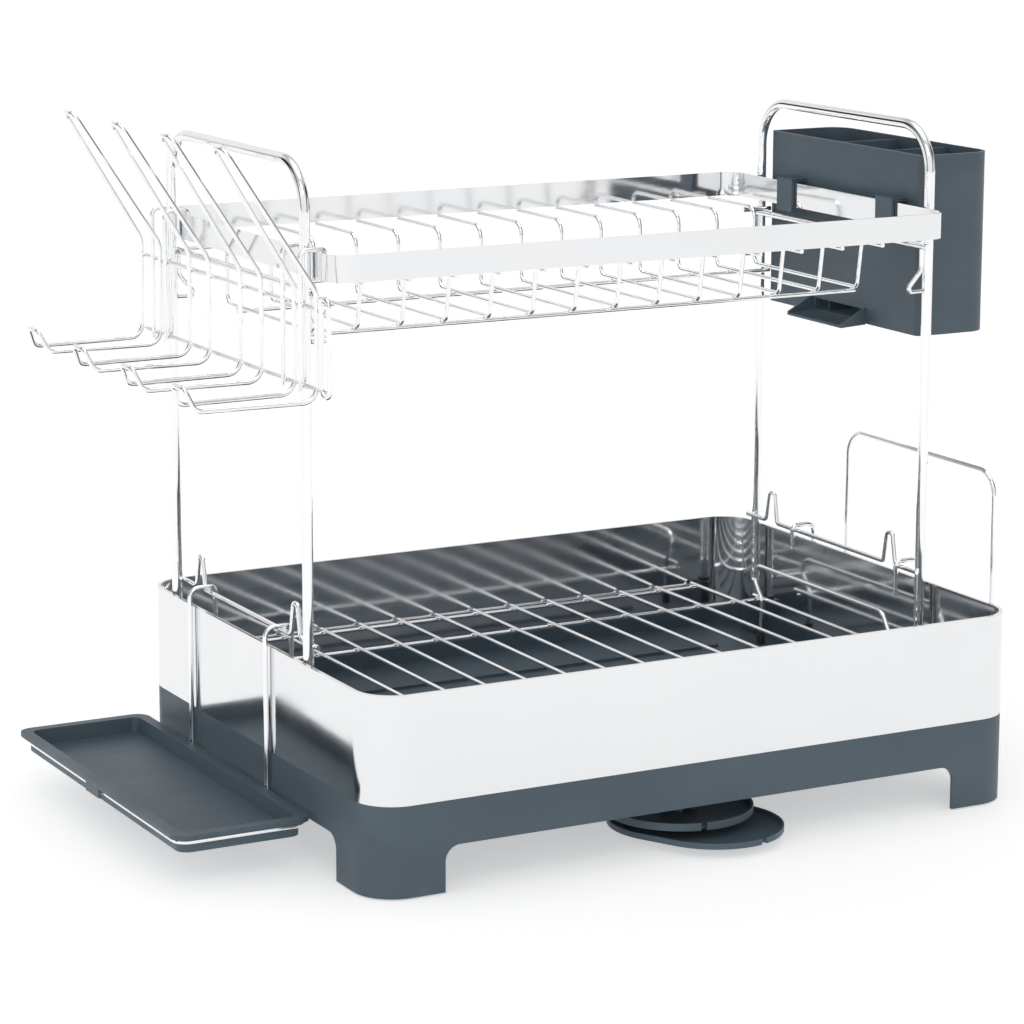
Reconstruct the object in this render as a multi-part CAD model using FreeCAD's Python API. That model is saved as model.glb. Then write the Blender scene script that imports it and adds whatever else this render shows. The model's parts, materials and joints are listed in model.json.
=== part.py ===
import FreeCAD, Part
import math
import os

# Two-tier dish drying rack.  Millimetres.  X runs along the front, Y to the
# back, Z up.  Every size below is given about the middle of the base tray on
# the worktop; the last step shifts the whole rack so that the middle of its
# overall footprint is the origin.

# base tray and lower band
BASE_L = 430.0          # outside length of the tray and the lower band
BASE_W = 320.0          # outside width
BASE_R = 24.0           # corner radius in plan
SKIRT_T = 2.4           # moulded wall of the tray
FOOT_Z = 0.8            # underside of the moulded feet, above the pads
FOOT_INSET = 20.0       # middle of each foot, in from both outside faces
POST_R = 9.0            # round post in each foot, and the bore that cores it
POST_BORE = 5.0
PAD_R = 6.8
PAD_H = 2.1
PAD_RECESS_R = 7.0
ARCH_Z = 27.5           # height of the cut-outs between the feet
ARCH_X = 170.0          # half length of the cut-outs in front and back
ARCH_Y = 113.5          # half length of the cut-outs at the ends
ARCH_R = 9.0            # rounding at the top of each cut-out
TRAY_TOP = 53.7         # top of the tray wall, where the band stands
FLOOR_Z = 43.0          # top of the basin floor
FLOOR_T = 2.6
RIB_H = 1.8
RIB_T = 2.4
RIB_HALF = 165.0
RIB_Y = (-60.0, -20.0, 20.0, 60.0, 100.0)
BAND_TOP = 116.3        # top of the lower band
SHEET = 0.8             # thickness of both steel bands
LIP_W = 2.4             # folded lip along the top of the lower band
LIP_H = 1.5
LIP_GAP = 0.2           # between the tray's locating lip and the band

# drain and swivel spouts
DRAIN_X = 4.0
DRAIN_Y = -119.0
DRAIN_R = 8.0           # outside of the drain tube
DRAIN_BORE = 6.0
DRAIN_LOW = 3.0
FLANGE_R = 10.4
STRAINER_HOLE = 0.8
STRAINER_RING = 3.4     # circle that the strainer's holes stand on
SEAL_R = 12.0
SEAL_H = 2.5
SLEEVE_R = 10.5
SLEEVE_LOW = 21.0
RUN_GAP = 0.06          # radial clearance of a turning spout
HUB_R = 11.0
SPOUT_FLOOR = 1.8
WINDOW_HALF = 3.0       # water window through each hub
CUP_R = 44.0
CUP_WALL = 1.6
CUP_NOTCH = (-10.0, -6.4, 4.0)
CUP_Z = (13.2, 17.8)
TONGUE_R = 42.0
TONGUE_WALL = 1.4
TONGUE_NOTCH = (-12.0, -8.0, 4.5)
TONGUE_REACH = 22.8
TONGUE_TURN = 28.8      # degrees the lower spout is swung to the right
TONGUE_Z = (5.6, 9.2)

# tube arches
LEG_X = 208.6
LEG_BACK = 124.1
LEG_FRONT = -65.6
TUBE_R = 3.2
TUBE_BORE = 2.4
TUBE_TOP = 398.4
TUBE_BEND = 28.0
TUBE_END = 66.0         # open lower end of each leg, closed by a plug
SEAT_TOP = 64.0         # moulded seat that takes the plug
SEAT_X = (203.0, 213.9)
SEAT_HALF_Y = 6.5
PLUG_R = 3.4
PLUG_LOW = 47.0
PLUG_FLANGE = 4.4
PLUG_SPIGOT = 9.0
BAR_R = 1.9             # cross-bar under the upper tier
BAR_Z = 326.3
LOOP_R = 1.4            # wire of the lower side rails and the spurs
LOOP_Z = 123.6
LOOP_TOP = 143.0
EAR_Y = (97.5, -39.0)   # middles of the two ears of each side rail
EAR_FOOT = 6.6
EAR_TOP = 2.9
SPUR_KNEE = 311.5       # the spur drops straight to here, then slants inwards
SPUR_TIP = (192.6, 298.6)

# upper tier
TIER_X = 204.5
TIER_FRONT = -93.5
TIER_BACK = 152.0
TIER_R = 13.0
TIER_LOW = 334.2
TIER_TOP = 349.7
WIRE_R = 1.3
REST_R = 1.5            # wires that lie across the cross-bars
CROSS_N = 14
CROSS_PITCH = 28.5
BASKET_Z = 297.1        # height of the basket's bottom run
BASKET_BACK = 95.0
BASKET_FRONT = -24.5
BASKET_LEDGE = -30.0
BASKET_RAILS = (78.5, -19.6)
REST_Y = (107.0, -49.0)

# lower wire rack
RACK_N = 14
RACK_PITCH = 27.5
RACK_Z = 72.3
RACK_WIRE = 1.3
RACK_HALF = 156.8       # cross wires stay clear of the folded lip
RAIL_R = 1.4
RACK_EDGE = 155.0
RACK_EDGE_HALF = 180.6
RACK_MID = 105.0
BORDER_X = 197.4
CAP_R = 2.6
RACK_FOOT_Y = (94.0, -58.0)
RACK_ARCH_TOP = 94.7
RACK_FOOT_LOW = 45.0    # end of the wire inside its cap
CAP_H = 9.0

# glass holder
HAIR_R = 1.4
HAIR_X = -217.0
HAIR_N = 4
HAIR_FIRST = 137.0
HAIR_PITCH = 73.6
HAIR_HALF = 14.5
HAIR_TOP = (-267.5, 411.0)
HAIR_BEND_Z = 331.5
HAIR_LOW_Z = 270.8
HAIR_OUT_X = -288.0
HAIR_TIP = (-293.0, 283.0)
HAIR_TIP_HALF = 8.0     # the two wires run together towards both tips
GLASS_RAILS = (321.0, 276.2)
END_LOOP_Y = (-104.5, -114.0)
END_LOOP_Z = (275.0, 329.0)
TIER_HOOK_LOW = 338.5   # lowest run of the hooks inside the tier's band
TIER_HOOK_BEND = 1.9

# cutlery caddy
CADDY_X = (213.0, 267.5)
CADDY_Y = (-50.0, 120.8)
CADDY_Z = (267.7, 379.2)
CADDY_T = 2.0
CADDY_BACK_R = 15.0
CADDY_FRONT_R = 4.0
DIVIDER_Y = (53.0, -0.8)
DIVIDER_TOP = 377.3
DIVIDER_T = 1.6
TAB_Y = ((77.0, 94.5), (-36.0, -18.0))
TAB_T = 1.8
TAB_LOW = 331.0
BRIDGE_T = 2.0
CADDY_HOLE_X = (14.0, 27.0, 40.0)
CADDY_HOLE_Y = (-36, -24, -12, 12, 24, 36, 66, 80, 94, 108)
CADDY_HOLE_R = 2.0
SCOOP_Y = (6.5, 69.0)
SCOOP_LIP_X = 194.5
SCOOP_WALL = 1.8
SCOOP_H = 11.0

# side tray and its wire frame
SIDE_X = (-303.5, -219.3)
SIDE_Y = (-94.0, 155.5)
SIDE_TOP = 33.3
SIDE_LOW = 22.0
SIDE_INSET = 5.0
SIDE_LIP = 2.6          # thickness of the flat lip
SIDE_FLOOR = 2.0
SIDE_TAB = 10.0         # half length of the tab on the outer edge
SIDE_WIRE = 1.5
SIDE_WIRE_Z = 28.8
HOOK_OUT = 217.2        # outer leg of every rim hook, from the middle
HOOK_IN = 200.8         # inner leg
HOOK_TOP = LOOP_Z + LOOP_R + 2.2
HOOK_BEND = 3.4         # tight enough to clear the side rail
HOOK_END = 105.5
SIDE_HOOK_Y = (84.3, -25.3)

# cutting-board holder
BOARD_X = 247.0
BOARD_Y = (-88.2, 73.6)
BOARD_TOP = 185.5
BOARD_LOW = 63.0
BOARD_HOOK_Y = (67.5, -50.8)
BOARD_HOOK_END = (112.0, HOOK_END)
BOARD_WIRE = 1.5
BOARD_BAR_OUT = 18.0    # outer bar, out from the hooks

TOUCH = 0.02            # welded wires bite this far into each other
GAP = 0.3               # air between pieces that only rest on each other

SPOUT_FRONT = DRAIN_Y - TONGUE_REACH * math.cos(math.radians(TONGUE_TURN)) - TONGUE_R
SHIFT = FreeCAD.Vector(-(SIDE_X[0] + CADDY_X[1]) / 2, -(BASE_W / 2 + SPOUT_FRONT) / 2, 0)

V = FreeCAD.Vector


def box(x0, x1, y0, y1, z0, z1):
    return Part.makeBox(x1 - x0, y1 - y0, z1 - z0, V(x0, y0, z0))


def rounded_wire(x0, x1, y0, y1, z, radii):
    """Rounded rectangle; radii are for corners (x0,y0), (x1,y0), (x1,y1), (x0,y1)."""
    corners = [(x0, y0), (x1, y0), (x1, y1), (x0, y1)]
    points = [V(x, y, z) for x, y in corners]
    return Part.Wire(filleted_edges(points, radii, True))


def rounded_box(x0, x1, y0, y1, z0, z1, radii):
    if not isinstance(radii, (list, tuple)):
        radii = [radii] * 4
    face = Part.Face(rounded_wire(x0, x1, y0, y1, z0, radii))
    return face.extrude(V(0, 0, z1 - z0))


def ring(half_x, half_y, radius, thick, z0, z1, mid_y=0.0):
    """Upright closed wall with rounded corners, centred on X = 0."""
    outer = rounded_box(-half_x, half_x, mid_y - half_y, mid_y + half_y, z0, z1, radius)
    inner = rounded_box(-half_x + thick, half_x - thick, mid_y - half_y + thick,
                        mid_y + half_y - thick, z0 - 1, z1 + 1, radius - thick)
    return outer.cut(inner)


def filleted_edges(points, radii, closed):
    """Straight runs joined by tangent arcs."""
    count = len(points)
    entry = []
    leave = []
    arcs = []
    for i in range(count):
        here = points[i]
        if not closed and i in (0, count - 1):
            entry.append(here)
            leave.append(here)
            arcs.append(None)
            continue
        back = (points[i - 1] - here).normalize()
        ahead = (points[(i + 1) % count] - here).normalize()
        half = math.acos(max(-1.0, min(1.0, back.dot(ahead)))) / 2
        reach = radii[i] / math.tan(half)
        a = here + back * reach
        b = here + ahead * reach
        bisector = (back + ahead).normalize()
        centre = here + bisector * (radii[i] / math.sin(half))
        middle = centre - bisector * radii[i]
        entry.append(a)
        leave.append(b)
        arcs.append(Part.Arc(a, middle, b).toShape())
    edges = []
    last = count if closed else count - 1
    for i in range(count):
        if arcs[i] is not None:
            edges.append(arcs[i])
        if i < last:
            start = leave[i]
            end = entry[(i + 1) % count]
            if start.distanceToPoint(end) > 1e-6:
                edges.append(Part.LineSegment(start, end).toShape())
    return edges


def rod(points, radius, bends=6.0, closed=False):
    """Round wire bent along the given points."""
    points = [V(*p) for p in points]
    if not isinstance(bends, (list, tuple)):
        bends = [bends] * len(points)
    edges = filleted_edges(points, bends, closed)
    if closed:
        # start on the last straight run, so that the seam is not in a bend
        first = edges[-1]
        start = first.valueAt(first.FirstParameter)
        heading = first.tangentAt(first.FirstParameter)
        path = Part.Wire([first] + edges[:-1])
    else:
        start = points[0]
        heading = (points[1] - points[0]).normalize()
        path = Part.Wire(Part.__sortEdges__(edges))
    profile = Part.Wire(Part.makeCircle(radius, start, heading))
    return path.makePipeShell([profile], True, False)


def straight(x0, y0, z0, x1, y1, z1, radius):
    start = V(x0, y0, z0)
    span = V(x1, y1, z1) - start
    return Part.makeCylinder(radius, span.Length, start, span)


def cross_positions(count, pitch):
    return [(i - (count - 1) / 2) * pitch for i in range(count)]


def drip_tray():
    half_l = BASE_L / 2
    half_w = BASE_W / 2
    inner_r = BASE_R - SKIRT_T
    body = rounded_box(-half_l, half_l, -half_w, half_w, FOOT_Z, TRAY_TOP, BASE_R)
    basin = rounded_box(-half_l + SKIRT_T, half_l - SKIRT_T, -half_w + SKIRT_T, half_w - SKIRT_T,
                        FLOOR_Z, TRAY_TOP + 1, inner_r)
    under = rounded_box(-half_l + SKIRT_T, half_l - SKIRT_T, -half_w + SKIRT_T, half_w - SKIRT_T,
                        0, FLOOR_Z - FLOOR_T, inner_r)
    body = body.cut(basin).cut(under)

    # cut-outs between the feet, with rounded tops
    along = rounded_slot_x(-ARCH_X, ARCH_X, -half_w - 5, half_w + 5)
    across = rounded_slot_y(-ARCH_Y, ARCH_Y, -half_l - 5, half_l + 5)
    body = body.cut(along).cut(across)

    # locating lip that stands just inside the band
    step = SHEET + LIP_GAP
    lip = ring(half_l - step, half_w - step, BASE_R - step, SKIRT_T - step, TRAY_TOP - 2, TRAY_TOP + 3)
    body = body.fuse(lip)

    # foot soles that carry the pads
    for sx in (-1, 1):
        for sy in (-1, 1):
            x, y = foot_centre(sx, sy)
            post = Part.makeCylinder(POST_R, FLOOR_Z - FLOOR_T - FOOT_Z + 0.5, V(x, y, FOOT_Z))
            recess = Part.makeCylinder(PAD_RECESS_R, PAD_H, V(x, y, 0))
            bore = Part.makeCylinder(POST_BORE, FLOOR_Z - FLOOR_T - 5, V(x, y, 0))
            body = body.fuse(post).cut(recess).cut(bore)

    # low ribs that keep water moving towards the drain
    for y in RIB_Y:
        body = body.fuse(box(-RIB_HALF, RIB_HALF, y - RIB_T / 2, y + RIB_T / 2,
                             FLOOR_Z - 0.5, FLOOR_Z + RIB_H))

    # seats for the four legs
    for sx in (-1, 1):
        for y in (LEG_BACK, LEG_FRONT):
            x0, x1 = sorted((sx * SEAT_X[0], sx * SEAT_X[1]))
            seat = box(x0, x1, y - SEAT_HALF_Y, y + SEAT_HALF_Y, FLOOR_Z - 0.5, SEAT_TOP)
            socket = Part.makeCylinder(PLUG_R, SEAT_TOP, V(sx * LEG_X, y, PLUG_LOW))
            body = body.fuse(seat).cut(socket)
    hole = Part.makeCylinder(DRAIN_R, 10, V(DRAIN_X, DRAIN_Y, FLOOR_Z - 8))
    return body.cut(hole).removeSplitter()


def slot(corners, span):
    """Cut-out with rounded top corners, from below the feet to the arch height."""
    face = Part.Face(Part.Wire(filleted_edges(corners, [0.5, 0.5, ARCH_R, ARCH_R], True)))
    return face.extrude(span)


def rounded_slot_x(x0, x1, y0, y1):
    corners = [V(x0, y0, -5), V(x1, y0, -5), V(x1, y0, ARCH_Z), V(x0, y0, ARCH_Z)]
    return slot(corners, V(0, y1 - y0, 0))


def rounded_slot_y(y0, y1, x0, x1):
    corners = [V(x0, y0, -5), V(x0, y1, -5), V(x0, y1, ARCH_Z), V(x0, y0, ARCH_Z)]
    return slot(corners, V(x1 - x0, 0, 0))


def foot_centre(sx, sy):
    return sx * (BASE_L / 2 - FOOT_INSET), sy * (BASE_W / 2 - FOOT_INSET)


def foot_pads():
    pads = []
    for sx in (-1, 1):
        for sy in (-1, 1):
            x, y = foot_centre(sx, sy)
            pads.append(Part.makeCylinder(PAD_R, PAD_H, V(x, y, 0)))
    return Part.makeCompound(pads)


def lower_band():
    half_l = BASE_L / 2
    half_w = BASE_W / 2
    wall = ring(half_l, half_w, BASE_R, SHEET, TRAY_TOP, BAND_TOP)
    lip = ring(half_l, half_w, BASE_R, LIP_W, BAND_TOP - LIP_H, BAND_TOP)
    return wall.fuse(lip).removeSplitter()


def drain_tube():
    top = FLOOR_Z + 1.0
    tube = Part.makeCylinder(DRAIN_R, top - DRAIN_LOW, V(DRAIN_X, DRAIN_Y, DRAIN_LOW))
    flange = Part.makeCylinder(FLANGE_R, 1.0, V(DRAIN_X, DRAIN_Y, FLOOR_Z))
    bore = Part.makeCylinder(DRAIN_BORE, top, V(DRAIN_X, DRAIN_Y, DRAIN_LOW + 1.5))
    shape = tube.fuse(flange).cut(bore)
    for z in (TONGUE_Z[0], CUP_Z[0]):
        low = z + SPOUT_FLOOR + 0.1
        shape = shape.cut(box(DRAIN_X - WINDOW_HALF, DRAIN_X + WINDOW_HALF, DRAIN_Y - DRAIN_R - 4, DRAIN_Y,
                              low, low + 1.6))
    return shape


def drain_strainer():
    disc = Part.makeCylinder(DRAIN_BORE, 1.4, V(DRAIN_X, DRAIN_Y, FLOOR_Z - 0.6))
    holes = [Part.makeCylinder(STRAINER_HOLE, 4, V(DRAIN_X, DRAIN_Y, FLOOR_Z - 2))]
    for i in range(6):
        angle = i * math.pi / 3
        x = DRAIN_X + STRAINER_RING * math.cos(angle)
        y = DRAIN_Y + STRAINER_RING * math.sin(angle)
        holes.append(Part.makeCylinder(STRAINER_HOLE, 4, V(x, y, FLOOR_Z - 2)))
    return disc.cut(Part.makeCompound(holes))


def collar(outer, inner, z0, z1):
    body = Part.makeCylinder(outer, z1 - z0, V(DRAIN_X, DRAIN_Y, z0))
    return body.cut(Part.makeCylinder(inner, z1 - z0 + 2, V(DRAIN_X, DRAIN_Y, z0 - 1)))


def drain_seal():
    return collar(SEAL_R, DRAIN_R, FLOOR_Z - FLOOR_T - SEAL_H, FLOOR_Z - FLOOR_T)


def drain_sleeve():
    return collar(SLEEVE_R, DRAIN_R, SLEEVE_LOW, FLOOR_Z - FLOOR_T - SEAL_H)


def drain_nut():
    return collar(HUB_R, DRAIN_R, DRAIN_LOW - 1.0, TONGUE_Z[0] - GAP)


def finish_spout(shape, z0, z1, hub_top, front, notch):
    """Add the hub, then cut its window, its bore and the notch in the front edge."""
    hub = Part.makeCylinder(HUB_R, hub_top - z0, V(DRAIN_X, DRAIN_Y, z0))
    window = box(DRAIN_X - WINDOW_HALF, DRAIN_X + WINDOW_HALF, DRAIN_Y - HUB_R - 3, DRAIN_Y,
                 z0 + SPOUT_FLOOR, z0 + 2 * SPOUT_FLOOR)
    bore = Part.makeCylinder(DRAIN_R + RUN_GAP, FLOOR_Z, V(DRAIN_X, DRAIN_Y, -1))
    left, right, depth = notch
    cut = box(DRAIN_X + left, DRAIN_X + right, front - 1, front + depth, z0 - 1, z1 + 1)
    return shape.fuse(hub).cut(window).cut(bore).cut(cut)


def spout_cup():
    """Small round stage right under the drain."""
    z0, z1 = CUP_Z
    shape = Part.makeCylinder(CUP_R, z1 - z0, V(DRAIN_X, DRAIN_Y, z0))
    shape = shape.cut(Part.makeCylinder(CUP_R - CUP_WALL, z1, V(DRAIN_X, DRAIN_Y, z0 + SPOUT_FLOOR)))
    return finish_spout(shape, z0, z1, SLEEVE_LOW - GAP, DRAIN_Y - CUP_R, CUP_NOTCH)


def stadium(radius, z0, z1):
    near = Part.makeCylinder(radius, z1 - z0, V(DRAIN_X, DRAIN_Y, z0))
    far = Part.makeCylinder(radius, z1 - z0, V(DRAIN_X, DRAIN_Y - TONGUE_REACH, z0))
    middle = box(DRAIN_X - radius, DRAIN_X + radius, DRAIN_Y - TONGUE_REACH, DRAIN_Y, z0, z1)
    return near.fuse(far).fuse(middle).removeSplitter()


def spout_tongue():
    """Longer stage that carries the water out over the sink."""
    z0, z1 = TONGUE_Z
    shape = stadium(TONGUE_R, z0, z1).cut(stadium(TONGUE_R - TONGUE_WALL, z0 + SPOUT_FLOOR, z1 + 1))
    front = DRAIN_Y - TONGUE_REACH - TONGUE_R
    shape = finish_spout(shape, z0, z1, CUP_Z[0] - GAP, front, TONGUE_NOTCH)
    shape.rotate(V(DRAIN_X, DRAIN_Y, 0), V(0, 0, 1), TONGUE_TURN)
    return shape


def rack_cross_wires():
    wires = []
    for x in cross_positions(RACK_N, RACK_PITCH):
        wires.append(straight(x, -RACK_HALF, RACK_Z, x, RACK_HALF, RACK_Z, RACK_WIRE))
    return Part.makeCompound(wires)


def rack_rail(y, half):
    z = RACK_Z - RACK_WIRE - RAIL_R + TOUCH
    return straight(-half, y, z, half, y, z, RAIL_R)


def rack_border(side):
    z = RACK_Z - RACK_WIRE + RAIL_R
    x = side * BORDER_X
    return straight(x, -RACK_MID - 2.5, z, x, RACK_MID + 2.5, z, RAIL_R)


def rack_end_arch(side):
    x = side * (BORDER_X - 2 * RAIL_R + TOUCH)
    back, front = RACK_FOOT_Y
    points = [(x, back, RACK_FOOT_LOW), (x, back, 73), (x, back + 17, RACK_ARCH_TOP),
              (x, front + 12, RACK_ARCH_TOP), (x, front, 77), (x, front, RACK_FOOT_LOW)]
    return rod(points, RAIL_R, [0, 8, 8, 9, 8, 0])


def rack_caps(side):
    x = side * (BORDER_X - 2 * RAIL_R + TOUCH)
    caps = []
    for y in RACK_FOOT_Y:
        cap = Part.makeCylinder(CAP_R, CAP_H, V(x, y, FLOOR_Z + GAP))
        caps.append(cap.cut(Part.makeCylinder(RAIL_R, 2 * CAP_H, V(x, y, RACK_FOOT_LOW))))
    return Part.makeCompound(caps)


def tube_arch(side):
    x = side * LEG_X
    points = [(x, LEG_BACK, TUBE_END), (x, LEG_BACK, TUBE_TOP),
              (x, LEG_FRONT, TUBE_TOP), (x, LEG_FRONT, TUBE_END)]
    outer = rod(points, TUBE_R, TUBE_BEND)
    inner = rod(points, TUBE_BORE, TUBE_BEND)
    return outer.cut(inner)


def leg_plugs(side):
    plugs = []
    for y in (LEG_BACK, LEG_FRONT):
        x = side * LEG_X
        foot = Part.makeCylinder(PLUG_R, SEAT_TOP - PLUG_LOW, V(x, y, PLUG_LOW))
        flange = Part.makeCylinder(PLUG_FLANGE, TUBE_END - SEAT_TOP, V(x, y, SEAT_TOP))
        spigot = Part.makeCylinder(TUBE_BORE, PLUG_SPIGOT, V(x, y, TUBE_END))
        plugs.append(foot.fuse(flange).fuse(spigot).removeSplitter())
    return Part.makeCompound(plugs)


def cross_bar(side):
    x = side * (LEG_X - TUBE_R - BAR_R + TOUCH)
    return straight(x, LEG_FRONT - 7.0, BAR_Z, x, LEG_BACK + 5.0, BAR_Z, BAR_R)


def side_rail(side):
    """Wire between the legs at rim height, with an ear beside each leg."""
    x = side * (LEG_X - TUBE_R - LOOP_R + TOUCH)
    path = [(LEG_BACK + 3.5, LOOP_Z)]
    bends = [0]
    for mid, back_bend, front_bend in ((EAR_Y[0], 4.5, 2.4), (EAR_Y[1], 2.4, 4.5)):
        path += [(mid + EAR_FOOT, LOOP_Z), (mid + EAR_TOP, LOOP_TOP),
                 (mid - EAR_TOP, LOOP_TOP), (mid - EAR_FOOT, LOOP_Z)]
        bends += [back_bend, 2.5, 2.5, front_bend]
    path.append((LEG_FRONT - 3.5, LOOP_Z))
    bends.append(0)
    return rod([(x, y, z) for y, z in path], LOOP_R, bends)


def spur(side, y):
    """Bent wire under the cross-bar whose tip points inwards."""
    near = LEG_X - TUBE_R - LOOP_R + TOUCH
    path = [(near, BAR_Z - BAR_R + TOUCH), (near, SPUR_KNEE), SPUR_TIP, (LEG_X - TUBE_R + TOUCH, SPUR_TIP[1])]
    return rod([(side * x, y, z) for x, z in path], LOOP_R, [0, 7.0, 2.2, 0])


def upper_band():
    half_y = (TIER_BACK - TIER_FRONT) / 2
    mid_y = (TIER_BACK + TIER_FRONT) / 2
    return ring(TIER_X, half_y, TIER_R, SHEET, TIER_LOW, TIER_TOP, mid_y)


def basket_cross_wires():
    ledge = TIER_LOW - WIRE_R + TOUCH
    wires = []
    for x in cross_positions(CROSS_N, CROSS_PITCH):
        path = [(x, TIER_BACK - 0.4, ledge), (x, BASKET_BACK, ledge), (x, BASKET_BACK, BASKET_Z),
                (x, BASKET_FRONT, BASKET_Z), (x, BASKET_LEDGE, ledge), (x, TIER_FRONT + 0.4, ledge)]
        wires.append(rod(path, WIRE_R, [0, 7.5, 5.5, 4.0, 5.5, 0]))
    return Part.makeCompound(wires)


def basket_rail(y):
    half = (CROSS_N - 1) / 2 * CROSS_PITCH + WIRE_R
    z = BASKET_Z - 2 * WIRE_R + TOUCH
    return straight(-half, y, z, half, y, z, WIRE_R)


def tier_rests(side):
    """Two short wires welded under the last cross wire that lie on the cross-bar."""
    inner = (CROSS_N - 1) / 2 * CROSS_PITCH - WIRE_R
    z = TIER_LOW - 2 * WIRE_R - REST_R + 2 * TOUCH
    bars = [straight(side * inner, y, z, side * (TIER_X + 0.2), y, z, REST_R) for y in REST_Y]
    return Part.makeCompound(bars)


def glass_loop(index):
    mid = HAIR_FIRST - index * HAIR_PITCH
    profile = [(HAIR_TOP, HAIR_TIP_HALF, 6.0), ((HAIR_X, HAIR_BEND_Z), HAIR_HALF, 14.0),
               ((HAIR_X, HAIR_LOW_Z), HAIR_HALF, 9.0), ((HAIR_OUT_X, HAIR_LOW_Z), HAIR_HALF - 2.5, 6.0),
               (HAIR_TIP, HAIR_TIP_HALF, 4.0)]
    far = [(x, mid + half, z) for (x, z), half, bend in profile]
    near = [(x, mid - half, z) for (x, z), half, bend in reversed(profile)]
    bends = [bend for point, half, bend in profile]
    return rod(far + near, HAIR_R, bends + bends[::-1], closed=True)


def glass_rail(z):
    x = HAIR_X + 2 * HAIR_R - TOUCH
    return straight(x, END_LOOP_Y[0] - 2.0, z, x, HAIR_FIRST + HAIR_HALF + 3, z, HAIR_R)


def glass_end_loop():
    first, last = END_LOOP_Y
    low, high = END_LOOP_Z
    points = [(HAIR_X, first, low), (HAIR_X, first, high), (HAIR_X, last, high), (HAIR_X, last, low)]
    return rod(points, HAIR_R, 4.0, closed=True)


def glass_hook(y_far, y_near):
    top = TIER_TOP + 2 * GAP + HAIR_R
    inside = -(TIER_X - SHEET - GAP - HAIR_R)
    low = GLASS_RAILS[1] - 3.0
    path = [(HAIR_X, low), (HAIR_X, top), (inside, top), (inside, TIER_HOOK_LOW)]
    bends = [0, 4.5, TIER_HOOK_BEND, 4.5]
    points = [(x, y_far, z) for x, z in path] + [(x, y_near, z) for x, z in path[::-1]]
    return rod(points, HAIR_R, bends + bends[::-1])


def caddy_body():
    x0, x1 = CADDY_X
    y0, y1 = CADDY_Y
    z0, z1 = CADDY_Z
    radii = [CADDY_FRONT_R, CADDY_BACK_R, CADDY_BACK_R, CADDY_FRONT_R]
    body = rounded_box(x0, x1, y0, y1, z0, z1, radii)
    inner = rounded_box(x0 + CADDY_T, x1 - CADDY_T, y0 + CADDY_T, y1 - CADDY_T, z0 + CADDY_T, z1 + 1,
                        [r - CADDY_T for r in radii])
    body = body.cut(inner)
    for y in DIVIDER_Y:
        body = body.fuse(box(x0 + 1, x1 - 1, y - DIVIDER_T / 2, y + DIVIDER_T / 2, z0 + 1, DIVIDER_TOP))
    inside = TIER_X - SHEET - GAP
    low = TIER_TOP + GAP
    for ya, yb in TAB_Y:
        bridge = box(inside - TAB_T, x0 + 1, ya, yb, low, low + BRIDGE_T)
        tongue = box(inside - TAB_T, inside, ya, yb, TAB_LOW, low + BRIDGE_T)
        body = body.fuse(bridge).fuse(tongue)
    outlet = box(x0 - 1, x0 + 3, SCOOP_Y[0] + 5, SCOOP_Y[1] - 5, z0 + 2.0, z0 + 9.0)
    body = body.cut(outlet)
    for x in CADDY_HOLE_X:
        for y in CADDY_HOLE_Y:
            body = body.cut(Part.makeCylinder(CADDY_HOLE_R, 6, V(x0 + x, y, z0 - 1)))
    return body.removeSplitter()


def caddy_spout():
    """Open scoop that leads drips from the caddy in over the lower rack."""
    y0, y1 = SCOOP_Y
    root = CADDY_X[0]
    z = CADDY_Z[0] - 0.6
    side_profile = [V(root, y0, z), V(SCOOP_LIP_X, y0, z - 1.0), V(SCOOP_LIP_X, y0, z + 1.4),
                    V(root, y0, z + SCOOP_H), V(root, y0, z)]
    solid = Part.Face(Part.makePolygon(side_profile)).extrude(V(0, y1 - y0, 0))
    start = y0 + SCOOP_WALL
    over = z + 2 * SCOOP_H
    hollow_profile = [V(root + 1, start, z + SCOOP_WALL), V(SCOOP_LIP_X - 1, start, z + 0.6),
                      V(SCOOP_LIP_X - 1, start, over), V(root + 1, start, over),
                      V(root + 1, start, z + SCOOP_WALL)]
    hollow = Part.Face(Part.makePolygon(hollow_profile)).extrude(V(0, y1 - y0 - 2 * SCOOP_WALL, 0))
    return solid.cut(hollow)


def side_tray():
    x0, x1 = SIDE_X
    y0, y1 = SIDE_Y
    d = SIDE_INSET
    lip = rounded_box(x0, x1, y0, y1, SIDE_TOP - SIDE_LIP, SIDE_TOP, 9.0)
    body = rounded_box(x0 + d, x1 - d, y0 + d, y1 - d, SIDE_LOW, SIDE_TOP, 7.0)
    # the hollow narrows towards the floor
    inset = d + 1.8
    top = rounded_wire(x0 + inset, x1 - inset, y0 + inset, y1 - inset, SIDE_TOP, [5.5] * 4)
    foot = d + 3.4
    low = rounded_wire(x0 + foot, x1 - foot, y0 + foot, y1 - foot, SIDE_LOW + SIDE_FLOOR, [4.0] * 4)
    hollow = Part.makeLoft([low, top], True)
    cap = Part.Face(top).extrude(V(0, 0, 2))
    shape = lip.fuse(body).cut(hollow).cut(cap)
    # tab that hides the frame wire half way along the outer edge
    middle = (y0 + y1) / 2
    tab = box(x0, x0 + 1.4, middle - SIDE_TAB, middle + SIDE_TAB, SIDE_TOP - 8.0, SIDE_TOP - 1)
    return shape.fuse(tab).removeSplitter()


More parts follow.
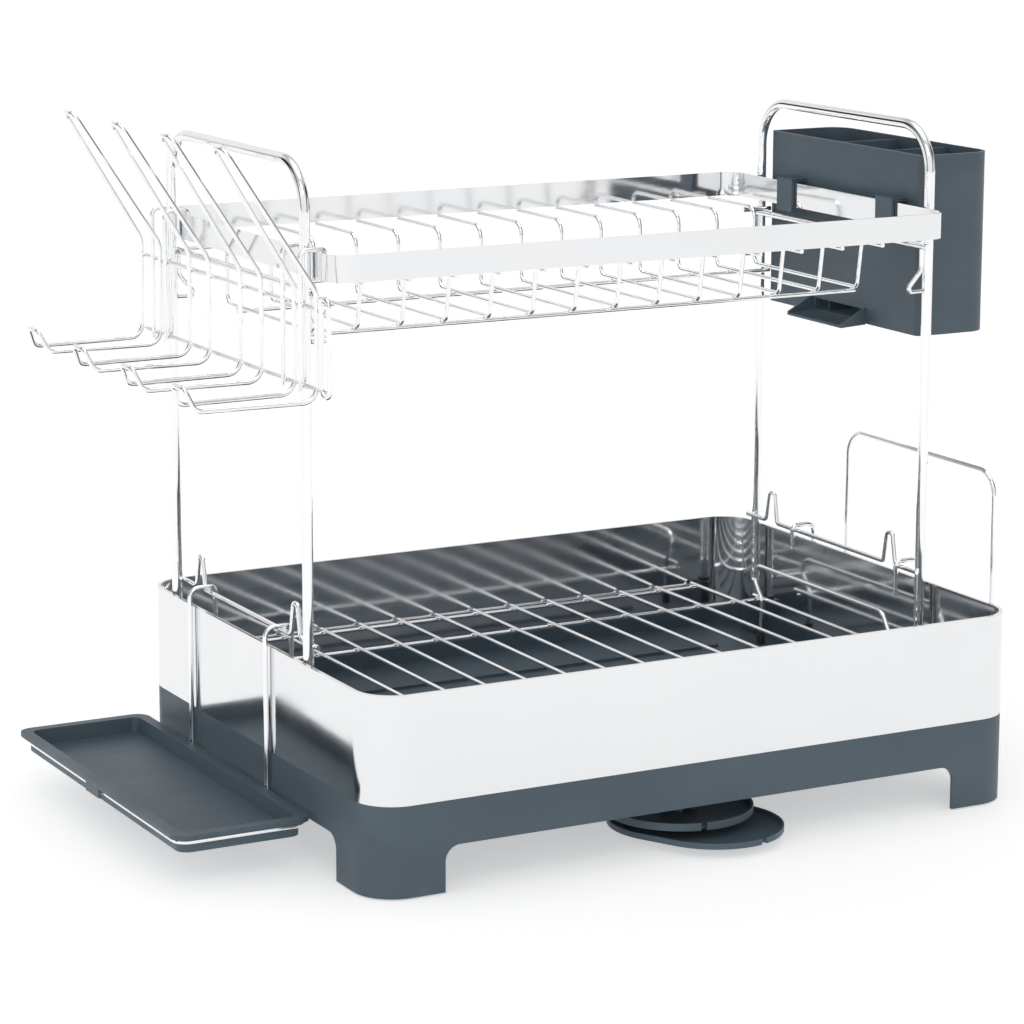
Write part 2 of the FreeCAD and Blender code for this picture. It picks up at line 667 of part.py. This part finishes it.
def side_tray_wire():
    gap = SIDE_INSET - SIDE_WIRE - GAP
    x0 = SIDE_X[0] + gap
    x1 = SIDE_X[1] - gap
    y0 = SIDE_Y[0] + gap
    y1 = SIDE_Y[1] - gap
    points = [(x0, y0, SIDE_WIRE_Z), (x1, y0, SIDE_WIRE_Z), (x1, y1, SIDE_WIRE_Z), (x0, y1, SIDE_WIRE_Z)]
    return rod(points, SIDE_WIRE, 8.0, closed=True)


def side_hook(y):
    low = SIDE_WIRE_Z - 2 * SIDE_WIRE + TOUCH
    points = [(-HOOK_OUT - 5.4, y, low), (-HOOK_OUT, y, low), (-HOOK_OUT, y, HOOK_TOP),
              (-HOOK_IN, y, HOOK_TOP), (-HOOK_IN, y, HOOK_END)]
    return rod(points, SIDE_WIRE, [0, 2.6, 6, HOOK_BEND, 0])


def board_arch():
    near, far = BOARD_Y
    x_in = HOOK_OUT + 1.6
    points = [(x_in, far, BOARD_LOW), (BOARD_X, far, BOARD_LOW), (BOARD_X, far, BOARD_TOP),
              (BOARD_X, near, BOARD_TOP), (BOARD_X, near, BOARD_LOW), (x_in, near, BOARD_LOW)]
    return rod(points, BOARD_WIRE, [0, 9, 16, 16, 9, 0])


def board_bar(x):
    z = BOARD_LOW + 2 * BOARD_WIRE - TOUCH
    return straight(x, BOARD_Y[0] - 3, z, x, BOARD_Y[1] + 3, z, BOARD_WIRE)


def board_hook(index):
    y = BOARD_HOOK_Y[index]
    points = [(HOOK_OUT, y, BOARD_LOW - 2), (HOOK_OUT, y, HOOK_TOP),
              (HOOK_IN, y, HOOK_TOP), (HOOK_IN, y, BOARD_HOOK_END[index])]
    return rod(points, BOARD_WIRE, [0, 6, HOOK_BEND, 0])


def build():
    nodes = {
        "drip_tray": drip_tray(),
        "foot_pads": foot_pads(),
        "lower_band": lower_band(),
        "drain_tube": drain_tube(),
        "drain_strainer": drain_strainer(),
        "drain_seal": drain_seal(),
        "drain_sleeve": drain_sleeve(),
        "drain_nut": drain_nut(),
        "spout_cup": spout_cup(),
        "spout_tongue": spout_tongue(),
        "rack_cross_wires": rack_cross_wires(),
        "rack_rail_back": rack_rail(RACK_EDGE, RACK_EDGE_HALF),
        "rack_rail_mid_back": rack_rail(RACK_MID, BORDER_X + RAIL_R),
        "rack_rail_mid_front": rack_rail(-RACK_MID, BORDER_X + RAIL_R),
        "rack_rail_front": rack_rail(-RACK_EDGE, RACK_EDGE_HALF),
        "upper_band": upper_band(),
        "basket_cross_wires": basket_cross_wires(),
        "basket_rail_back": basket_rail(BASKET_RAILS[0]),
        "basket_rail_front": basket_rail(BASKET_RAILS[1]),
        "glass_rail_top": glass_rail(GLASS_RAILS[0]),
        "glass_rail_bottom": glass_rail(GLASS_RAILS[1]),
        "glass_end_loop": glass_end_loop(),
        "glass_hook_back": glass_hook(LEG_BACK + 9.5, LEG_BACK - 9.5),
        "glass_hook_front": glass_hook(LEG_FRONT + 11.5, LEG_FRONT - 11.5),
        "caddy_body": caddy_body(),
        "caddy_spout": caddy_spout(),
        "side_tray": side_tray(),
        "side_tray_wire": side_tray_wire(),
        "side_hook_back": side_hook(SIDE_HOOK_Y[0]),
        "side_hook_front": side_hook(SIDE_HOOK_Y[1]),
        "board_arch": board_arch(),
        "board_bar_inner": board_bar(HOOK_OUT + 2 * BOARD_WIRE - TOUCH),
        "board_bar_outer": board_bar(HOOK_OUT + BOARD_BAR_OUT),
        "board_hook_back": board_hook(0),
        "board_hook_front": board_hook(1),
    }
    for name, side in (("left", -1), ("right", 1)):
        nodes["rack_border_" + name] = rack_border(side)
        nodes["rack_end_arch_" + name] = rack_end_arch(side)
        nodes["rack_caps_" + name] = rack_caps(side)
        nodes["tube_arch_" + name] = tube_arch(side)
        nodes["leg_plugs_" + name] = leg_plugs(side)
        nodes["cross_bar_" + name] = cross_bar(side)
        nodes["side_rail_" + name] = side_rail(side)
        nodes["spur_back_" + name] = spur(side, LEG_BACK)
        nodes["spur_front_" + name] = spur(side, LEG_FRONT)
        nodes["tier_rests_" + name] = tier_rests(side)
    for i in range(HAIR_N):
        nodes["glass_loop_%d" % (i + 1)] = glass_loop(i)
    return nodes


os.makedirs("parts", exist_ok=True)
for node, shape in build().items():
    shape.translate(SHIFT)
    shape.exportStep("parts/%s.step" % node)
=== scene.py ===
import json
import math

import bmesh
import bpy
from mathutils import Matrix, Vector


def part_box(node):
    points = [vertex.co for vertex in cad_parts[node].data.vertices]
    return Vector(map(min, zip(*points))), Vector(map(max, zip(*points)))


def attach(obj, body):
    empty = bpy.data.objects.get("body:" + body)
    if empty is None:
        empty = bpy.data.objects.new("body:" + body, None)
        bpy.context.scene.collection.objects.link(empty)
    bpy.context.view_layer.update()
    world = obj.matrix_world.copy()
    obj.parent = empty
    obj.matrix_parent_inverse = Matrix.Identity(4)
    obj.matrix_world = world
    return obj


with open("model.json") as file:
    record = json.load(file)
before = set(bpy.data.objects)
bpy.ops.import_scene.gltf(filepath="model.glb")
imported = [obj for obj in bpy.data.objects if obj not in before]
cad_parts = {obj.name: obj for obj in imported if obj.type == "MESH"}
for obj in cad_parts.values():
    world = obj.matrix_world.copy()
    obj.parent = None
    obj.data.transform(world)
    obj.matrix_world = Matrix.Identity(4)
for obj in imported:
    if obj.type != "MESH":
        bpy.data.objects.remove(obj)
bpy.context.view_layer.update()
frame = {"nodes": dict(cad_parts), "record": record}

# Camera, in metres and degrees, in the row frame.
AZIMUTH = -27.6
ELEVATION = 11.3
AIM = Vector((-0.033, 0.048, 0.198))
DISTANCE = 2.132
LENS = 123.5
SHIFT = (0.040, -0.049)

# Sizes of the finish, in metres and degrees.
WIRE_RADIUS = 0.0013
CROSS_WIRES = 14        # wires across the lower rack, and across the basket
BEAD_SIZE = 1.25 * WIRE_RADIUS
WELD_DISTANCE = 0.000002
PLASTIC_BEVEL = 0.0005
BEVEL_ANGLE = 40
SPLIT_ANGLE = 38
WEAR_RADIUS = 0.0011
WEAR_AMOUNT = 0.22

# Light.
REFLECTED = 0.90        # brightness of the surroundings, as reflections see them
SOFTBOX = 5.0           # brightness of the overhead light, as reflections see it
DOME = 1.86             # brightness of the surroundings, as the light on surfaces
FLOOR_GLOW = 0.46       # keeps the floor white and its shadows faint
KEY_POWER = 14
TOP_POWER = 3

# Colours.
SLATE = (0.047, 0.071, 0.091)
SLATE_LIGHT = (0.058, 0.086, 0.109)
STEEL = (0.83, 0.835, 0.84)
STEEL_DULL = (0.79, 0.798, 0.81)
PLATING = (0.94, 0.945, 0.95)
PLATING_DULL = (0.86, 0.868, 0.88)
RUBBER = (0.014, 0.014, 0.016)
RUBBER_BLOOM = (0.05, 0.05, 0.052)
STRAINER = (0.05, 0.07, 0.09)
STRAINER_LIGHT = (0.07, 0.09, 0.11)
FLOOR = (0.78, 0.78, 0.78)
FLOOR_LIGHT = (0.80, 0.80, 0.80)


# --------------------------------------------------------------- node helpers

def new_material(name):
    material = bpy.data.materials.new(name)
    material.use_nodes = True
    tree = material.node_tree
    tree.nodes.clear()
    output = tree.nodes.new("ShaderNodeOutputMaterial")
    shader = tree.nodes.new("ShaderNodeBsdfPrincipled")
    tree.links.new(shader.outputs["BSDF"], output.inputs["Surface"])
    return material, tree, shader


def object_coords(tree, scale=(1, 1, 1)):
    coords = tree.nodes.new("ShaderNodeTexCoord")
    mapping = tree.nodes.new("ShaderNodeMapping")
    mapping.inputs["Scale"].default_value = scale
    tree.links.new(coords.outputs["Object"], mapping.inputs["Vector"])
    return mapping.outputs["Vector"]


def noise(tree, vector, scale, detail=3.0, rough=0.55, distortion=0.0):
    node = tree.nodes.new("ShaderNodeTexNoise")
    node.inputs["Scale"].default_value = scale
    node.inputs["Detail"].default_value = detail
    node.inputs["Roughness"].default_value = rough
    node.inputs["Distortion"].default_value = distortion
    tree.links.new(vector, node.inputs["Vector"])
    return node.outputs["Fac"]


def spots(tree, vector, scale, low, high, randomness=1.0):
    """Small round marks: 1 at each mark's middle, 0 away from it."""
    cells = tree.nodes.new("ShaderNodeTexVoronoi")
    cells.inputs["Scale"].default_value = scale
    cells.inputs["Randomness"].default_value = randomness
    tree.links.new(vector, cells.inputs["Vector"])
    return remap(tree, cells.outputs["Distance"], low, high, 1.0, 0.0)


def remap(tree, value, from_low, from_high, to_low, to_high):
    node = tree.nodes.new("ShaderNodeMapRange")
    node.interpolation_type = "SMOOTHSTEP"
    node.inputs["From Min"].default_value = from_low
    node.inputs["From Max"].default_value = from_high
    node.inputs["To Min"].default_value = to_low
    node.inputs["To Max"].default_value = to_high
    tree.links.new(value, node.inputs["Value"])
    return node.outputs["Result"]


def combine(tree, operation, first, second):
    node = tree.nodes.new("ShaderNodeMath")
    node.operation = operation
    for socket, value in zip(node.inputs, (first, second)):
        if isinstance(value, (int, float)):
            socket.default_value = value
        else:
            tree.links.new(value, socket)
    return node.outputs["Value"]


def mix_colours(tree, factor, first, second):
    node = tree.nodes.new("ShaderNodeMix")
    node.data_type = "RGBA"
    tree.links.new(factor, node.inputs["Factor"])
    for name, value in (("A", first), ("B", second)):
        socket = [s for s in node.inputs if s.name == name and s.type == "RGBA"][0]
        if isinstance(value, tuple):
            socket.default_value = (*value, 1.0)
        else:
            tree.links.new(value, socket)
    return [s for s in node.outputs if s.type == "RGBA"][0]


def add_bump(tree, shader, height, strength, distance):
    bump = tree.nodes.new("ShaderNodeBump")
    bump.inputs["Strength"].default_value = strength
    bump.inputs["Distance"].default_value = distance
    tree.links.new(height, bump.inputs["Height"])
    tree.links.new(bump.outputs["Normal"], shader.inputs["Normal"])


# ------------------------------------------------------------------- materials

def steel_sheet(name, grain_axis, rough_low, rough_high):
    """Polished sheet: a faint rolled grain along the wall, dull patches and dried water marks."""
    material, tree, shader = new_material(name)
    stretch = [420.0, 420.0, 420.0]
    stretch[grain_axis] = 6.0
    grain = noise(tree, object_coords(tree, stretch), 1.0, 4.0, 0.6)
    plain = object_coords(tree)
    patches = noise(tree, plain, 9.0, 3.0, 0.6)
    marks = spots(tree, plain, 34.0, 0.02, 0.09)
    marks = combine(tree, "MULTIPLY", marks, remap(tree, noise(tree, plain, 4.0), 0.52, 0.66, 0.0, 1.0))
    rough = remap(tree, patches, 0.35, 0.7, rough_low, rough_high)
    rough = combine(tree, "ADD", rough, combine(tree, "MULTIPLY", marks, 0.05))
    rough = combine(tree, "ADD", rough, remap(tree, grain, 0.3, 0.7, 0.0, 0.02))
    tree.links.new(rough, shader.inputs["Roughness"])
    tint = mix_colours(tree, patches, STEEL, STEEL_DULL)
    tree.links.new(tint, shader.inputs["Base Color"])
    shader.inputs["Metallic"].default_value = 1.0
    waves = noise(tree, plain, 14.0, 2.0, 0.5)
    height = combine(tree, "ADD", combine(tree, "MULTIPLY", grain, 0.15), waves)
    add_bump(tree, shader, height, 0.05, 0.0006)
    return material


def bright_metal(name, rough, ripple):
    """Plated wire or tube: bright, with drawing ripples, fine pits and a little haze."""
    material, tree, shader = new_material(name)
    plain = object_coords(tree)
    haze = noise(tree, plain, 26.0, 3.0, 0.6)
    pits = spots(tree, plain, 260.0, 0.02, 0.10)
    value = remap(tree, haze, 0.35, 0.7, rough, rough + 0.07)
    value = combine(tree, "ADD", value, combine(tree, "MULTIPLY", pits, 0.12))
    tree.links.new(value, shader.inputs["Roughness"])
    tint = mix_colours(tree, haze, PLATING, PLATING_DULL)
    tree.links.new(tint, shader.inputs["Base Color"])
    shader.inputs["Metallic"].default_value = 1.0
    fine = noise(tree, plain, 480.0, 2.0, 0.5)
    slow = noise(tree, plain, 38.0, 2.0, 0.5)
    height = combine(tree, "ADD", combine(tree, "MULTIPLY", fine, 0.2), slow)
    height = combine(tree, "SUBTRACT", height, combine(tree, "MULTIPLY", pits, 0.3))
    add_bump(tree, shader, height, ripple, 0.0005)
    return material


def moulded_plastic(name, dark, light, rough, grain_scale, grain_depth):
    """Moulded plastic with a fine spark grain, flow shading, rubbed patches and dust."""
    material, tree, shader = new_material(name)
    plain = object_coords(tree)
    flow = noise(tree, object_coords(tree, (3.0, 3.0, 9.0)), 2.2, 4.0, 0.6, 0.6)
    rubbed = noise(tree, plain, 16.0, 5.0, 0.65)
    dust = spots(tree, plain, 210.0, 0.01, 0.05)
    grain = noise(tree, plain, grain_scale, 3.0, 0.6)
    colour = mix_colours(tree, remap(tree, flow, 0.3, 0.7, 0.0, 1.0), dark, light)
    pale = tuple(min(1.0, c * 1.6 + 0.03) for c in light)
    lift = remap(tree, rubbed, 0.60, 0.78, 0.0, 0.22)
    lift = combine(tree, "ADD", lift, combine(tree, "MULTIPLY", dust, 0.18))
    lift = combine(tree, "ADD", lift, edge_wear(tree))
    tree.links.new(mix_colours(tree, lift, colour, pale), shader.inputs["Base Color"])
    roughness = remap(tree, rubbed, 0.3, 0.75, rough + 0.06, rough - 0.07)
    tree.links.new(roughness, shader.inputs["Roughness"])
    shader.inputs["Specular IOR Level"].default_value = 0.45
    add_bump(tree, shader, grain, grain_depth, 0.0004)
    return material


def edge_wear(tree):
    """Brighter rubbed line along sharp edges, broken up by noise."""
    bevel = tree.nodes.new("ShaderNodeBevel")
    bevel.samples = 4
    bevel.inputs["Radius"].default_value = WEAR_RADIUS
    geometry = tree.nodes.new("ShaderNodeNewGeometry")
    dot = tree.nodes.new("ShaderNodeVectorMath")
    dot.operation = "DOT_PRODUCT"
    tree.links.new(bevel.outputs["Normal"], dot.inputs[0])
    tree.links.new(geometry.outputs["Normal"], dot.inputs[1])
    edge = remap(tree, dot.outputs["Value"], 0.80, 0.995, 1.0, 0.0)
    broken = remap(tree, noise(tree, object_coords(tree), 60.0, 4.0, 0.7), 0.35, 0.65, 0.2, 1.0)
    return combine(tree, "MULTIPLY", combine(tree, "MULTIPLY", edge, broken), WEAR_AMOUNT)


def soft_rubber(name):
    """Matt rubber with a pale bloom."""
    material, tree, shader = new_material(name)
    plain = object_coords(tree)
    bloom = noise(tree, plain, 45.0, 4.0, 0.7)
    grain = noise(tree, plain, 900.0, 2.0, 0.6)
    colour = mix_colours(tree, remap(tree, bloom, 0.4, 0.75, 0.0, 1.0), RUBBER, RUBBER_BLOOM)
    tree.links.new(colour, shader.inputs["Base Color"])
    tree.links.new(remap(tree, bloom, 0.3, 0.7, 0.75, 0.9), shader.inputs["Roughness"])
    add_bump(tree, shader, grain, 0.3, 0.0003)
    return material


def pale_floor(name):
    """Plain white floor that glows a little."""
    material, tree, shader = new_material(name)
    plain = object_coords(tree)
    cloud = noise(tree, plain, 1.5, 3.0, 0.5)
    colour = mix_colours(tree, cloud, FLOOR, FLOOR_LIGHT)
    tree.links.new(colour, shader.inputs["Base Color"])
    tree.links.new(remap(tree, cloud, 0.3, 0.7, 0.75, 0.85), shader.inputs["Roughness"])
    shader.inputs["Specular IOR Level"].default_value = 0.1
    shader.inputs["Emission Color"].default_value = (1.0, 1.0, 1.0, 1.0)
    shader.inputs["Emission Strength"].default_value = FLOOR_GLOW
    return material


MATERIALS = {
    "band_steel": steel_sheet("band_steel", 0, 0.06, 0.11),
    "tube_steel": bright_metal("tube_steel", 0.06, 0.03),
    "bright_wire": bright_metal("bright_wire", 0.08, 0.05),
    "slate_plastic": moulded_plastic("slate_plastic", SLATE, SLATE_LIGHT, 0.46, 1100.0, 0.25),
    "strainer_plastic": moulded_plastic("strainer_plastic", STRAINER, STRAINER_LIGHT, 0.4, 1400.0, 0.2),
    "dark_rubber": soft_rubber("dark_rubber"),
}


# ------------------------------------------------------------- CAD node finish

def paint(obj, material):
    obj.data.materials.clear()
    obj.data.materials.append(material)


def finish_cad_nodes():
    """Material and clean shading for every CAD node; only the slate pieces get a bevel."""
    slots = {entry["node"]: entry["material_slot"] for entry in frame["record"]["subparts"]}
    for name, obj in frame["nodes"].items():
        slot = slots[name]
        paint(obj, MATERIALS[slot])
        weld = obj.modifiers.new("weld", "WELD")
        weld.merge_threshold = WELD_DISTANCE
        if slot == "slate_plastic":
            bevel = obj.modifiers.new("soft_edges", "BEVEL")
            bevel.width = PLASTIC_BEVEL
            bevel.segments = 2
            bevel.limit_method = "ANGLE"
            bevel.angle_limit = math.radians(BEVEL_ANGLE)
            flat = obj.modifiers.new("flat_faces", "WEIGHTED_NORMAL")
            flat.keep_sharp = True
        split = obj.modifiers.new("crisp_edges", "EDGE_SPLIT")
        split.split_angle = math.radians(SPLIT_ANGLE)
        split.use_edge_sharp = False
        for polygon in obj.data.polygons:
            polygon.use_smooth = True


# ------------------------------------------------------------------ weld beads

def wire_places(node):
    """X of each of a node's evenly spaced parallel wires, from its box."""
    low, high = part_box(node)
    first = low[0] + WIRE_RADIUS
    step = (high[0] - low[0] - 2 * WIRE_RADIUS) / (CROSS_WIRES - 1)
    return [first + i * step for i in range(CROSS_WIRES)]


def add_bead(mesh, place, size):
    """Small slumped weld nugget: a ball flattened and squeezed unevenly."""
    made = bmesh.ops.create_icosphere(mesh, subdivisions=2, radius=1.0)
    for vertex in made["verts"]:
        x, y, z = vertex.co
        ripple = 1.0 + 0.12 * math.sin(3.1 * x + 900.0 * place[0]) * math.cos(2.7 * y + 700.0 * place[1])
        vertex.co = Vector((place[0] + size * 1.15 * x * ripple,
                            place[1] + size * 1.15 * y * ripple,
                            place[2] + size * 0.62 * z))


def weld_beads(name, wires, rails, body):
    """A bead at every crossing of a row of wires with the rails beneath them."""
    mesh = bmesh.new()
    for rail in rails:
        low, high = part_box(rail)
        for x in wire_places(wires):
            if low[0] < x < high[0]:
                add_bead(mesh, (x, (low[1] + high[1]) / 2, high[2]), BEAD_SIZE)
    data = bpy.data.meshes.new(name)
    mesh.to_mesh(data)
    mesh.free()
    beads = bpy.data.objects.new(name, data)
    bpy.context.scene.collection.objects.link(beads)
    for polygon in data.polygons:
        polygon.use_smooth = True
    paint(beads, MATERIALS["bright_wire"])
    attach(beads, body)


# --------------------------------------------------------------------- studio

def make_floor():
    bpy.ops.mesh.primitive_plane_add(size=14.0, location=(0, 0, -0.0002))
    floor = bpy.context.object
    floor.name = "floor"
    paint(floor, pale_floor("floor_paint"))


def area_light(name, location, target, size, power):
    data = bpy.data.lights.new(name, "AREA")
    data.shape = "RECTANGLE"
    data.size = size[0]
    data.size_y = size[1]
    data.energy = power
    light = bpy.data.objects.new(name, data)
    bpy.context.scene.collection.objects.link(light)
    light.location = location
    direction = Vector(target) - Vector(location)
    light.rotation_euler = direction.to_track_quat("-Z", "Y").to_euler()


def ramp_of(tree, value, stops):
    ramp = tree.nodes.new("ShaderNodeValToRGB")
    tree.links.new(value, ramp.inputs["Fac"])
    elements = ramp.color_ramp.elements
    elements[0].position = stops[0][0]
    elements[1].position = stops[-1][0]
    for position, _ in stops[1:-1]:
        elements.new(position)
    for element, (_, grey) in zip(elements, stops):
        element.color = (grey, grey, grey, 1.0)
    return ramp.outputs["Color"]


def multiply_colours(tree, first, second):
    both = tree.nodes.new("ShaderNodeMix")
    both.data_type = "RGBA"
    both.blend_type = "MULTIPLY"
    both.inputs["Factor"].default_value = 1.0
    colours = [s for s in both.inputs if s.type == "RGBA"]
    tree.links.new(first, colours[0])
    tree.links.new(second, colours[1])
    return [s for s in both.outputs if s.type == "RGBA"][0]


def make_world():
    """White surroundings, darker overhead and to the right.

    Reflections see dark flags at both sides, a darker ceiling band and a bright light overhead.
    """
    world = bpy.data.worlds.new("studio")
    bpy.context.scene.world = world
    world.use_nodes = True
    tree = world.node_tree
    tree.nodes.clear()
    output = tree.nodes.new("ShaderNodeOutputWorld")
    coords = tree.nodes.new("ShaderNodeTexCoord")
    side = tree.nodes.new("ShaderNodeVectorMath")
    side.operation = "DOT_PRODUCT"
    angle = math.radians(AZIMUTH)
    side.inputs[1].default_value = (math.cos(angle), math.sin(angle), 0.0)
    tree.links.new(coords.outputs["Generated"], side.inputs[0])
    flags = ramp_of(tree, combine(tree, "ABSOLUTE", side.outputs["Value"], 0.0),
                    ((0.0, 1.0), (0.76, 1.0), (0.82, 0.03), (0.92, 0.03), (0.975, 0.95)))
    parts = tree.nodes.new("ShaderNodeSeparateXYZ")
    tree.links.new(coords.outputs["Generated"], parts.inputs["Vector"])
    ceiling = ramp_of(tree, parts.outputs["Z"],
                      ((0.0, 1.0), (0.50, 1.0), (0.62, 0.6), (0.78, 0.6), (0.9, 1.0)))
    softbox = remap(tree, parts.outputs["Z"], 0.90, 0.96, REFLECTED, SOFTBOX)
    reflected = tree.nodes.new("ShaderNodeBackground")
    tree.links.new(multiply_colours(tree, flags, ceiling), reflected.inputs["Color"])
    tree.links.new(softbox, reflected.inputs["Strength"])
    plain = tree.nodes.new("ShaderNodeBackground")
    dome = ramp_of(tree, parts.outputs["Z"], ((0.0, 1.0), (0.26, 1.0), (0.58, 0.36), (1.0, 0.14)))
    half = combine(tree, "MULTIPLY", combine(tree, "ADD", side.outputs["Value"], 1.0), 0.5)
    shade = ramp_of(tree, half, ((0.0, 1.0), (0.62, 1.0), (1.0, 0.5)))
    tree.links.new(multiply_colours(tree, dome, shade), plain.inputs["Color"])
    plain.inputs["Strength"].default_value = DOME
    path = tree.nodes.new("ShaderNodeLightPath")
    mix = tree.nodes.new("ShaderNodeMixShader")
    tree.links.new(path.outputs["Is Glossy Ray"], mix.inputs[0])
    tree.links.new(plain.outputs["Background"], mix.inputs[1])
    tree.links.new(reflected.outputs["Background"], mix.inputs[2])
    white = tree.nodes.new("ShaderNodeBackground")
    seen = tree.nodes.new("ShaderNodeMixShader")
    white.inputs["Color"].default_value = (1.0, 1.0, 1.0, 1.0)
    tree.links.new(path.outputs["Is Camera Ray"], seen.inputs[0])
    tree.links.new(mix.outputs["Shader"], seen.inputs[1])
    tree.links.new(white.outputs["Background"], seen.inputs[2])
    tree.links.new(seen.outputs["Shader"], output.inputs["Surface"])


def make_camera():
    data = bpy.data.cameras.new("camera")
    data.lens = LENS
    data.sensor_width = 36.0
    data.shift_x, data.shift_y = SHIFT
    data.clip_end = 50.0
    camera = bpy.data.objects.new("camera", data)
    bpy.context.scene.collection.objects.link(camera)
    turn = math.radians(AZIMUTH)
    tilt = math.radians(ELEVATION)
    back = Vector((math.sin(turn) * math.cos(tilt), -math.cos(turn) * math.cos(tilt), math.sin(tilt)))
    camera.location = AIM + back * DISTANCE
    camera.rotation_euler = (math.radians(90.0) - tilt, 0.0, turn)
    bpy.context.scene.camera = camera


finish_cad_nodes()
weld_beads("rack_weld_beads", "rack_cross_wires",
           ("rack_rail_back", "rack_rail_mid_back", "rack_rail_mid_front", "rack_rail_front"), "lower_rack")
weld_beads("basket_weld_beads", "basket_cross_wires",
           ("basket_rail_back", "basket_rail_front"), "upper_tier")
make_floor()
make_world()
area_light("key", (-1.2, -2.4, 2.8), (0, 0, 0.15), (2.0, 1.4), KEY_POWER)
area_light("top", (0.2, 0.3, 3.0), (0, 0, 0), (2.0, 2.0), TOP_POWER)
make_camera()
bpy.context.scene.view_settings.view_transform = "Standard"
bpy.context.scene.view_settings.look = "None"
